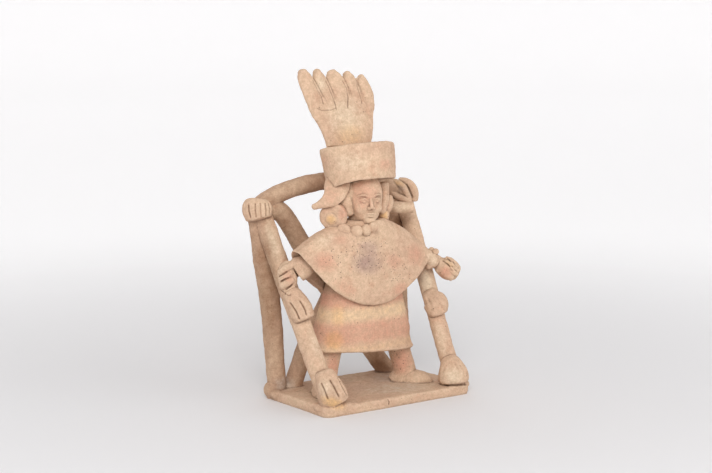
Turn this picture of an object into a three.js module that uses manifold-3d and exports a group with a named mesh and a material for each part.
// A hand-modelled figure of fired clay. It stands on a low slab inside a frame of clay coils: two
// posts lean back on each side, a beam joins their tops, and two coils cross behind the figure.
// The whole work is one body of clay. Millimetres, +Z up, the figure faces -Y, and the origin is
// at the middle of the slab's underside.
import * as THREE from 'three';
import { mergeVertices } from 'three/addons/utils/BufferGeometryUtils.js';
import Module from 'manifold-3d';

const wasm = await Module();
wasm.setup();

// Slab, and the lumps of clay pressed onto it: each one's place and half sizes
const SLAB = { width: 177, depth: 110, thickness: 9.5, corner: 8, edge: 2.5 };
const SLAB_LUMPS = [
  { place: [-82, 45, 10.5], radii: [11, 10, 8.5] },
  { place: [80, 44, 10], radii: [9, 9, 7] },
  { place: [-72, -47, 8], radii: [13, 8, 5] },
  { place: [82, -46, 8.5], radii: [9, 8.5, 5] },
  { place: [72, -49, 8.5], radii: [10, 6, 4] },
];

// Frame: the feet of the coils, from the middle, and the two upper corners
const FRONT_FOOT = { x: 76.5, y: -46 };
const REAR_FOOT = { x: 79, y: 45 };
const LEFT_CORNER = { x: -91, y: 57, z: 188 };
const RIGHT_CORNER = { x: 72, y: 42, z: 190 };
const BEAM_TOP = 212;
const FRONT_COIL = 9.6;
const RIGHT_COIL = 8.7;
const REAR_COIL = 9.2;
const BRACE_COIL = 9;
const WIDE_BRACE_COIL = 9.8;
const FOOT_DEPTH = 6;

// Lashings: each one's middle, the way its coil runs, the way it faces, and its lobes
const LEFT_POST = [-5, 37, 65];
const RIGHT_POST = [-1, 30, 68];
const LEVEL_POST = [0, 0, 1];
const LASHINGS = [
  {
    place: [-94, 54, 186], along: LEVEL_POST, outward: [-0.35, -0.94, 0],
    lobes: 5, length: 24, pitch: 6.6, radius: 9.8, reach: 4.5,
  },
  {
    place: [-82.3, 1, 93], along: LEFT_POST, outward: [-0.25, -0.86, 0.45],
    lobes: 3, length: 28, pitch: 9.5, radius: 8.4, reach: 4.5,
  },
  {
    place: [-77, -42, 23], along: LEFT_POST, outward: [0.05, -0.9, 0.4],
    lobes: 4, length: 29, pitch: 9, radius: 9.5, reach: 4.5,
  },
  {
    place: [73, 39, 192], along: LEVEL_POST, outward: [0.1, -0.99, 0],
    lobes: 3, length: 25, pitch: 11, radius: 9.5, reach: 5.5,
  },
  {
    place: [75.6, -10, 85], along: RIGHT_POST, outward: [0.25, -0.88, 0.38],
    lobes: 3, length: 27, pitch: 10, radius: 8, reach: 5.5,
  },
  {
    place: [76.5, -42, 20], along: RIGHT_POST, outward: [0.3, -0.88, 0.38],
    lobes: 3, length: 28, pitch: 12, radius: 9, reach: 6,
  },
];
const LOBE_OVERLAP = 0.72;

// Figure: skirt, cape and legs
const AXIS = -5;
const HEM = { left: 53, right: 45, halfWidth: 58, halfDepth: 25, wall: 7, recess: 9 };
const WAIST = { z: 118, halfWidth: 40, halfDepth: 19 };
const SKIRT_Y = 3;
const SKIRT_POWER = 0.8;
const CAPE = { neck: 178, bottom: 95, halfWidth: 82, frontDepth: 25, backDepth: 22, wall: 6.5 };
const CAPE_NECK = { halfWidth: 22, halfDepth: 17, y: 1 };
const CAPE_TIP = { left: 152, right: 138 };
const CAPE_POINT = { left: 1.7, right: 2.5 };
const CAPE_Y = 2;
const CAPE_POWER = 0.55;
const CAPE_SWELL = 4;
const LEG = { top: 62, ankle: 20, radius: 11.5, spread: 2, hip: 38, heel: 48, toe: 65, stride: 25 };
const FOOT = { radii: [13, 9.5, 21], forward: 0.35, z: 11 };

// Arms: stations along each, with half thicknesses, and the lumps of cuff, hand and bracelet
const LEFT_ARM = [
  { place: [-42, 3, 152], across: 10 },
  { place: [-66, 3, 140], across: 9.5 },
  { place: [-78, 8, 133], across: 9 },
];
const LEFT_CUFF = { place: [-76, 3, 134.5], radii: [12.5, 13.5, 6.5], along: [-0.85, 0.25, -0.45] };
const LEFT_HAND = [
  { place: [-87, 14, 125], radii: [12, 10, 16] },
  { place: [-84.5, 10, 115], radii: [8, 8, 13] },
];
const LEFT_HAND_FACING = [-0.4, -0.85, 0.3];
const RIGHT_ARM = [
  { place: [34, 0, 150], across: 10 },
  { place: [60, -5, 138], across: 9 },
  { place: [82, -11, 125], across: 7 },
];
const BRACELET = { place: [72, -10, 131], radii: [9, 10.5, 6], along: [0.82, -0.2, -0.5] };
const WRIST_BEAD = { place: [78, -11, 139], radii: [4, 4, 4] };
const RIGHT_HAND = [
  { place: [78, -11, 126], across: 6, through: 5 },
  { place: [86, -12, 122], across: 10, through: 7 },
  { place: [97, -12.5, 117], across: 11.5, through: 6.5 },
  { place: [103, -13, 113], across: 7, through: 4 },
];

// Head, ear spools, beads, the bar behind the right ear, and hair
const HEAD = { x: -4.5, y: -4, z: 195, halfWidth: 19.5, halfDepth: 20, halfHeight: 25 };
const JAW = { forward: 4, down: 9, inset: 5, halfHeight: 10 };
const NOSE = { down: 1, radii: [3.5, 4.5, 6] };
const HAIR_CAP = { back: 8, up: 6, wider: 6, shallower: 2, halfHeight: 16 };
const NECK = { low: [-5, 1, 165], lowRadius: 18, highRadius: 14.5, back: 3, down: 12 };
const SPOOLS = [
  { place: [-39, 1, 185], facing: [-0.82, -0.55, -0.12] },
  { place: [25, 3, 186], facing: [0.85, -0.5, -0.12] },
];
const SPOOL = { radius: 12.8, rim: 1.5, half: 4, stem: 14, stemRadius: 6, boss: [5.5, 5.5, 3] };
const BEADS = { middle: [-7, -1, 172], ring: 19, angles: [-54, -18, 18, 54], radii: [8, 4.5, 7] };
const EAR_BAR = { points: [[27, 4, 186], [48, 12, 184], [71, 25, 183]], radius: 6 };
const LOCKS = [
  { out: 24, y: 2, z: 215, across: 6, through: 12 },
  { out: 38, y: 3, z: 204, across: 5, through: 9 },
  { out: 51, y: 4, z: 198.5, across: 4, through: 6.5 },
  { out: 61, y: 5, z: 194, across: 3, through: 4 },
];

// Hat, which leans back, and the fan of feathers on it
const HAT = { x: -6.3, y: 4, z: 215, height: 35, halfWidth: 37, halfDepth: 33, lean: 11 };
const HAT_PROFILE = [
  { up: 0, swell: -2 },
  { up: 0.08, swell: -1 },
  { up: 0.5, swell: 1 },
  { up: 0.94, swell: 1.2 },
  { up: 1, swell: 0 },
];
const FAN = { x: -11.5, y: 18, z: 247, lean: 18, baseHalfWidth: 24, thickness: 8.5, root: 8 };
const FAN_BEVEL = { depth: 1.5, inset: 1.2 };
const FAN_LEFT = { bend: [-32, 25], top: [-43.5, 54] };
const FAN_RIGHT = { bend: [32, 22], top: [42, 48] };
const FEATHER = { count: 5, pitch: 17.5, halfWidth: 9.3, height: 81.5, drop: 1.4, cleft: 16 };
const TIP = { inset: 2, shift: 1, cleftInset: 0.8, lastDrop: 2 };

// How many sides the rings and lumps have, and the finish of the clay
const SIDES = { coil: 5, lump: 8, skull: 14, limb: 12, neck: 16, spool: 14, skirt: 26, cape: 30 };
const HAT_SIDES = 24;
const COIL_STEP = 20;
const BEAM_STEP = 13;
const CLAY_COLOUR = 0xcfa27c;
const CLAY_ROUGHNESS = 0.92;

// How far apart two corners may be and still be one, and how far a facet may leave the surface
const WELD = 0.001;
const TRUENESS = 0.3;

const UP = new THREE.Vector3(0, 0, 1);
const FRONT = new THREE.Vector3(0, -1, 0);
const at = (x, y, z) => new THREE.Vector3(x, y, z);
const unit = (x, y, z) => at(x, y, z).normalize();
const mix = THREE.MathUtils.lerp;
const rad = THREE.MathUtils.degToRad;

// The solid of a closed mesh, with its shared corners merged
function solid(geometry) {
  geometry.deleteAttribute('normal');
  geometry.deleteAttribute('uv');
  const merged = mergeVertices(geometry, WELD);
  return new wasm.Manifold(new wasm.Mesh({
    numProp: 3,
    vertProperties: new Float32Array(merged.attributes.position.array),
    triVerts: new Uint32Array(merged.index.array),
  }));
}

// The skin over a row of rings with the same number of points, closed at both ends
function loft(rings) {
  const count = rings[0].length;
  const points = rings.flat();
  const index = [];
  for (let row = 0; row + 1 < rings.length; row += 1) {
    for (let i = 0; i < count; i += 1) {
      const next = (i + 1) % count;
      const low = row * count;
      const high = low + count;
      index.push(low + i, low + next, high + next, low + i, high + next, high + i);
    }
  }
  for (const [row, flip] of [[0, true], [rings.length - 1, false]]) {
    const middle = new THREE.Vector3();
    rings[row].forEach((point) => middle.addScaledVector(point, 1 / count));
    points.push(middle);
    for (let i = 0; i < count; i += 1) {
      const edge = [row * count + i, row * count + (i + 1) % count];
      index.push(...(flip ? edge.reverse() : edge), points.length - 1);
    }
  }
  const geometry = new THREE.BufferGeometry().setFromPoints(points);
  geometry.setIndex(index);
  const body = solid(geometry);
  if (body.volume() > 0) {
    return body;
  }
  for (let i = 0; i < index.length; i += 3) {
    [index[i], index[i + 1]] = [index[i + 1], index[i]];
  }
  geometry.setIndex(index);
  return solid(geometry);
}

// A level oval whose power makes it rounder (1) or more like a rounded box (below 1)
function oval(centre, halfWidth, halfDepth, count, power = 1) {
  const soften = (value) => Math.sign(value) * Math.abs(value) ** power;
  return Array.from({ length: count }, (_, i) => {
    const angle = 2 * Math.PI * i / count;
    const x = halfWidth * soften(Math.cos(angle));
    const y = halfDepth * soften(Math.sin(angle));
    return at(x, y, 0).add(centre);
  });
}

// A round coil of clay along a smooth curve through a few points
function coil(points, radius, step = COIL_STEP) {
  const path = new THREE.CatmullRomCurve3(points);
  const section = new THREE.Shape();
  section.absarc(0, 0, radius, 0, 2 * Math.PI);
  const steps = Math.max(2, Math.round(path.getLength() / step));
  return solid(new THREE.ExtrudeGeometry(section, {
    steps,
    curveSegments: SIDES.coil,
    extrudePath: path,
  }));
}

// A limb through stations, each with its place and its two half thicknesses
function limb(stations, sides = SIDES.limb) {
  const places = stations.map(({ place }) => at(...place));
  return loft(stations.map(({ across, through = across }, i) => {
    const before = places[Math.max(i - 1, 0)];
    const after = places[Math.min(i + 1, places.length - 1)];
    const turn = new THREE.Quaternion().setFromUnitVectors(UP, after.clone().sub(before).normalize());
    const ring = oval(at(0, 0, 0), across, through, sides);
    return ring.map((point) => point.applyQuaternion(turn).add(places[i]));
  }));
}

// An oval lump, with its third axis along the given direction and its second one facing outward
function lump(place, radii, along = UP, outward = FRONT, sides = SIDES.lump) {
  const across = outward.clone().cross(along).normalize();
  const facing = along.clone().cross(across).normalize();
  const basis = new THREE.Matrix4().makeBasis(across, facing, along.clone().normalize());
  const geometry = new THREE.SphereGeometry(1, sides, sides - 3);
  geometry.rotateX(Math.PI / 2);
  geometry.scale(...radii);
  geometry.applyMatrix4(basis.setPosition(place));
  return solid(geometry);
}

// A lashing: lobes of clay side by side, bent round a coil
function lashing({ place, along, outward, lobes, length, pitch, radius, reach }) {
  const way = unit(...along);
  const front = unit(...outward);
  const across = front.clone().cross(way).normalize();
  return Array.from({ length: lobes }, (_, i) => {
    const angle = (i - (lobes - 1) / 2) * pitch / radius;
    const facing = front.clone().multiplyScalar(Math.cos(angle));
    facing.addScaledVector(across, Math.sin(angle));
    const centre = at(...place).addScaledVector(facing, radius);
    return lump(centre, [pitch * LOBE_OVERLAP, reach, length / 2], way, facing);
  });
}

// The slab, rounded at its corners and edges, with clay pressed on round the feet of the posts
function slab() {
  const { width, depth, thickness, corner, edge } = SLAB;
  const halfWidth = width / 2 - edge;
  const halfDepth = depth / 2 - edge;
  const outline = new THREE.Shape();
  outline.absarc(halfWidth - corner, halfDepth - corner, corner, 0, Math.PI / 2);
  outline.absarc(corner - halfWidth, halfDepth - corner, corner, Math.PI / 2, Math.PI);
  outline.absarc(corner - halfWidth, corner - halfDepth, corner, Math.PI, 1.5 * Math.PI);
  outline.absarc(halfWidth - corner, corner - halfDepth, corner, 1.5 * Math.PI, 2 * Math.PI);
  const geometry = new THREE.ExtrudeGeometry(outline, {
    depth: thickness - 2 * edge,
    curveSegments: 3,
    bevelThickness: edge,
    bevelSize: edge,
    bevelSegments: 2,
  });
  geometry.translate(0, 0, edge);
  return [
    solid(geometry),
    ...SLAB_LUMPS.map(({ place, radii }) => lump(at(...place), radii)),
  ];
}

// Posts, beam and crossed braces
function frame() {
  const { x: frontX, y: frontY } = FRONT_FOOT;
  const { x: rearX, y: rearY } = REAR_FOOT;
  const left = LEFT_CORNER;
  const right = RIGHT_CORNER;
  const frontLeft = [
    at(-frontX, frontY, FOOT_DEPTH), at(-80, -17, 57), at(-84.5, 21, 122),
    at(left.x + 1, left.y - 1, left.z),
  ];
  const frontRight = [
    at(frontX, frontY, FOOT_DEPTH), at(75.8, -16, 70), at(74.3, 14, 138),
    at(right.x + 1, right.y - 5, right.z - 1),
  ];
  const rearLeft = [
    at(-rearX, rearY, FOOT_DEPTH), at(-82, 50, 86), at(-88, 54, 140),
    at(left.x - 3, left.y, left.z - 2),
  ];
  const rearRight = [
    at(rearX, rearY, FOOT_DEPTH), at(73, rearY, 82), at(68, rearY, 161), at(67, 44, right.z),
  ];
  const beam = [
    at(left.x - 3, left.y, left.z - 3), at(left.x + 3, left.y, left.z + 5), at(-55, 55, 206),
    at(-8, 51, BEAM_TOP), at(38, 47, 208), at(63, 44, 199), at(right.x, right.y + 1, right.z - 2),
  ];
  const wideBrace = [
    at(left.x + 6, left.y, left.z - 2), at(-70, 55.5, 182), at(-44, 54, 142), at(-8, 52, 98),
    at(40, 47, 33), at(60, 44, FOOT_DEPTH),
  ];
  const innerBrace = [
    at(-62, 44, FOOT_DEPTH), at(-44, 44, 49), at(-14, 42.5, 101), at(33, 46, 189), at(44, 47, 207),
  ];
  return [
    coil(frontLeft, FRONT_COIL),
    coil(frontRight, RIGHT_COIL),
    coil(rearLeft, REAR_COIL),
    coil(rearRight, REAR_COIL),
    coil(beam, BRACE_COIL, BEAM_STEP),
    coil(wideBrace, WIDE_BRACE_COIL),
    coil(innerBrace, BRACE_COIL),
  ];
}

// The wide skirt, hollowed a little underneath, where the legs come out
function skirt() {
  const { halfWidth, halfDepth, wall, recess } = HEM;
  const flares = [
    { down: 0, width: WAIST.halfWidth, depth: WAIST.halfDepth },
    { down: 0.35, width: mix(WAIST.halfWidth, halfWidth, 0.42), depth: 22 },
    { down: 0.7, width: mix(WAIST.halfWidth, halfWidth, 0.8), depth: 24 },
    { down: 0.93, width: halfWidth - 1.5, depth: halfDepth - 0.5 },
    { down: 1, width: halfWidth + 1, depth: halfDepth + 1 },
    { down: 1, width: halfWidth - wall, depth: halfDepth - wall },
    {
      down: 1 - recess / (WAIST.z - HEM.left),
      width: halfWidth - wall - 3,
      depth: halfDepth - wall - 2,
    },
  ];
  const ringAt = ({ down, width, depth }) => {
    const ring = oval(at(AXIS, SKIRT_Y, 0), width, depth, SIDES.skirt, SKIRT_POWER);
    return ring.map((point) => {
      const side = (point.x - AXIS) / halfWidth / 2 + 0.5;
      const hem = mix(HEM.left, HEM.right, side);
      return point.setZ(mix(WAIST.z, hem, down));
    });
  };
  return loft(flares.map(ringAt));
}

// The poncho-like cape: a sheet from the neck to points at both sides and a low round front
function cape() {
  const { neck, bottom, halfWidth, frontDepth, backDepth, wall } = CAPE;
  const hemAt = (angle, inset) => {
    const side = Math.cos(angle) / 2 + 0.5;
    const tip = mix(CAPE_TIP.left, CAPE_TIP.right, side);
    const point = mix(CAPE_POINT.left, CAPE_POINT.right, side);
    const reach = Math.abs(Math.sin(angle));
    const depth = Math.sin(angle) < 0 ? frontDepth : backDepth;
    const y = Math.sign(Math.sin(angle)) * (depth - inset) * reach ** CAPE_POWER;
    const z = mix(tip, bottom, reach ** point);
    return at(AXIS + (halfWidth - inset) * Math.cos(angle), CAPE_Y + y, z);
  };
  const neckAt = (angle) => at(
    AXIS + CAPE_NECK.halfWidth * Math.cos(angle),
    CAPE_NECK.y + CAPE_NECK.halfDepth * Math.sin(angle),
    neck,
  );
  const ringAt = (down, inset = 0, lift = 0) => Array.from({ length: SIDES.cape }, (_, i) => {
    const angle = 2 * Math.PI * i / SIDES.cape;
    const point = neckAt(angle).lerp(hemAt(angle, inset), down);
    const swell = CAPE_SWELL * Math.sin(Math.PI * down);
    point.y += swell * Math.sin(angle);
    point.z += lift + swell;
    return point;
  });
  const outside = [0, 0.2, 0.4, 0.6, 0.8, 0.94, 1].map((down) => ringAt(down));
  return loft([...outside, ringAt(1, wall, 1.5), ringAt(0.93, wall + 1, 2)]);
}

// Legs set apart, each with a foot that points forward and a little outward
function legs() {
  const middle = AXIS + LEG.spread;
  return [-1, 1].flatMap((side) => {
    const hip = [middle + side * LEG.hip, 4, LEG.top];
    const ankle = [middle + side * (LEG.heel + 1), 0, LEG.ankle];
    const heel = [middle + side * LEG.heel, 2, SLAB.thickness - 1];
    const toe = at(middle + side * LEG.toe, -LEG.stride, SLAB.thickness + 1);
    const foot = at(...heel).lerp(toe, FOOT.forward).setZ(FOOT.z);
    return [
      limb([
        { place: heel, across: LEG.radius + 3 },
        { place: ankle, across: LEG.radius },
        { place: hip, across: LEG.radius + 0.5 },
      ]),
      lump(foot, FOOT.radii, toe.clone().sub(at(...heel)), UP),
    ];
  });
}

// Arms from under the cape: one hand clasps its post, the other reaches past the far post
function arms() {
  const grip = unit(...LEFT_POST);
  const facing = unit(...LEFT_HAND_FACING);
  return [
    limb(LEFT_ARM),
    lump(at(...LEFT_CUFF.place), LEFT_CUFF.radii, unit(...LEFT_CUFF.along)),
    ...LEFT_HAND.map(({ place, radii }) => lump(at(...place), radii, grip, facing)),
    limb(RIGHT_ARM),
    lump(at(...BRACELET.place), BRACELET.radii, unit(...BRACELET.along)),
    lump(at(...WRIST_BEAD.place), WRIST_BEAD.radii),
    limb(RIGHT_HAND),
  ];
}

// A round ear spool on its stem, with a raised boss
function spool({ place, facing }) {
  const way = unit(...facing);
  const along = (distance) => at(...place).addScaledVector(way, distance).toArray();
  const stations = [
    { place: along(-SPOOL.stem), across: SPOOL.stemRadius },
    { place: along(-SPOOL.half), across: SPOOL.radius - SPOOL.rim },
    { place, across: SPOOL.radius },
    { place: along(SPOOL.half), across: SPOOL.radius - SPOOL.rim },
  ];
  return [
    limb(stations, SIDES.spool),
    lump(at(...along(SPOOL.half)), SPOOL.boss, way),
  ];
}

// Neck and head, with plain features, and the string of flat beads
function head() {
  const { x, y, z, halfWidth, halfDepth, halfHeight } = HEAD;
  const beads = BEADS.angles.map((degrees) => {
    const outward = at(Math.sin(rad(degrees)), -Math.cos(rad(degrees)), 0);
    const place = at(...BEADS.middle).addScaledVector(outward, BEADS.ring);
    return lump(place, BEADS.radii, UP, outward);
  });
  const neck = [
    { place: NECK.low, across: NECK.lowRadius },
    { place: [x, y + NECK.back, z - NECK.down], across: NECK.highRadius },
  ];
  const jaw = at(x, y - JAW.forward, z - JAW.down);
  const jawRadii = [halfWidth - JAW.inset, halfDepth - JAW.inset, JAW.halfHeight];
  const cap = at(x, y + HAIR_CAP.back, z + HAIR_CAP.up);
  const capRadii = [
    halfWidth + HAIR_CAP.wider, halfDepth - HAIR_CAP.shallower, HAIR_CAP.halfHeight,
  ];
  return [
    limb(neck, SIDES.neck),
    lump(at(x, y, z + 3), [halfWidth, halfDepth, halfHeight], UP, FRONT, SIDES.skull),
    lump(jaw, jawRadii),
    lump(at(x, y - halfDepth, z - NOSE.down), NOSE.radii),
    lump(cap, capRadii),
    ...SPOOLS.flatMap(spool),
    ...beads,
    coil(EAR_BAR.points.map((point) => at(...point)), EAR_BAR.radius),
  ];
}

// Flat locks of hair that sweep out and down from under the hat
function hair() {
  return [-1, 1].map((side) => limb(LOCKS.map(({ out, y, z, across, through }) => (
    { place: [AXIS + side * out, y, z], across, through }
  ))));
}

// The drum-shaped hat
function hat() {
  const turn = new THREE.Matrix4().makeRotationX(-rad(HAT.lean));
  turn.setPosition(HAT.x, HAT.y, HAT.z);
  return loft(HAT_PROFILE.map(({ up, swell }) => {
    const centre = at(0, 0, up * HAT.height);
    const ring = oval(centre, HAT.halfWidth + swell, HAT.halfDepth + swell, HAT_SIDES);
    return ring.map((point) => point.applyMatrix4(turn));
  }));
}

// Five feathers side by side, as one plate with a scalloped top
function fan() {
  const { count, pitch, halfWidth, height, drop, cleft } = FEATHER;
  const outline = new THREE.Shape();
  outline.moveTo(-FAN.baseHalfWidth, -FAN.root);
  outline.quadraticCurveTo(...FAN_LEFT.bend, ...FAN_LEFT.top);
  for (let i = 0; i < count; i += 1) {
    const x = (i - (count - 1) / 2) * pitch;
    const top = height - drop * i - (i === count - 1 ? TIP.lastDrop : 0);
    const shift = x > 0 ? TIP.shift : -TIP.shift;
    const left = x - halfWidth;
    const right = x + halfWidth;
    outline.lineTo(left + TIP.cleftInset, top - cleft);
    outline.quadraticCurveTo(left + TIP.inset + shift, top, x, top);
    outline.quadraticCurveTo(right - TIP.inset + shift, top, right - TIP.cleftInset, top - cleft);
  }
  outline.lineTo(...FAN_RIGHT.top);
  outline.quadraticCurveTo(...FAN_RIGHT.bend, FAN.baseHalfWidth, -FAN.root);
  const geometry = new THREE.ExtrudeGeometry(outline, {
    depth: FAN.thickness - 2 * FAN_BEVEL.depth,
    curveSegments: 4,
    bevelThickness: FAN_BEVEL.depth,
    bevelSize: FAN_BEVEL.inset,
    bevelOffset: -FAN_BEVEL.inset,
    bevelSegments: 1,
  });
  geometry.translate(0, 0, FAN_BEVEL.depth - FAN.thickness / 2);
  geometry.rotateX(Math.PI / 2 - rad(FAN.lean));
  geometry.translate(FAN.x, FAN.y, FAN.z);
  return solid(geometry);
}

// Joins the lumps and drops the specks of air that close up between coils
function fuse(lumps) {
  const joined = lumps.reduce((whole, next) => whole.add(next)).simplify(TRUENESS);
  const shells = joined.decompose().filter((shell) => shell.volume() > 0);
  return shells.reduce((whole, next) => whole.add(next));
}

const clay = fuse([
  ...slab(), ...frame(), ...LASHINGS.flatMap(lashing), skirt(), cape(), ...legs(), ...arms(),
  ...head(), ...hair(), hat(), fan(),
]);
const { vertProperties, triVerts } = clay.getMesh();
const surface = new THREE.BufferGeometry();
surface.setAttribute('position', new THREE.BufferAttribute(vertProperties, 3));
surface.setIndex(new THREE.BufferAttribute(triVerts, 1));
surface.computeVertexNormals();

const firedClay = new THREE.MeshStandardMaterial({
  color: CLAY_COLOUR,
  roughness: CLAY_ROUGHNESS,
  metalness: 0,
});
const figure = new THREE.Mesh(surface, firedClay);
figure.name = 'clay_figure';

const part = new THREE.Group();
part.name = 'figure_in_frame';
part.add(figure);

export default part;
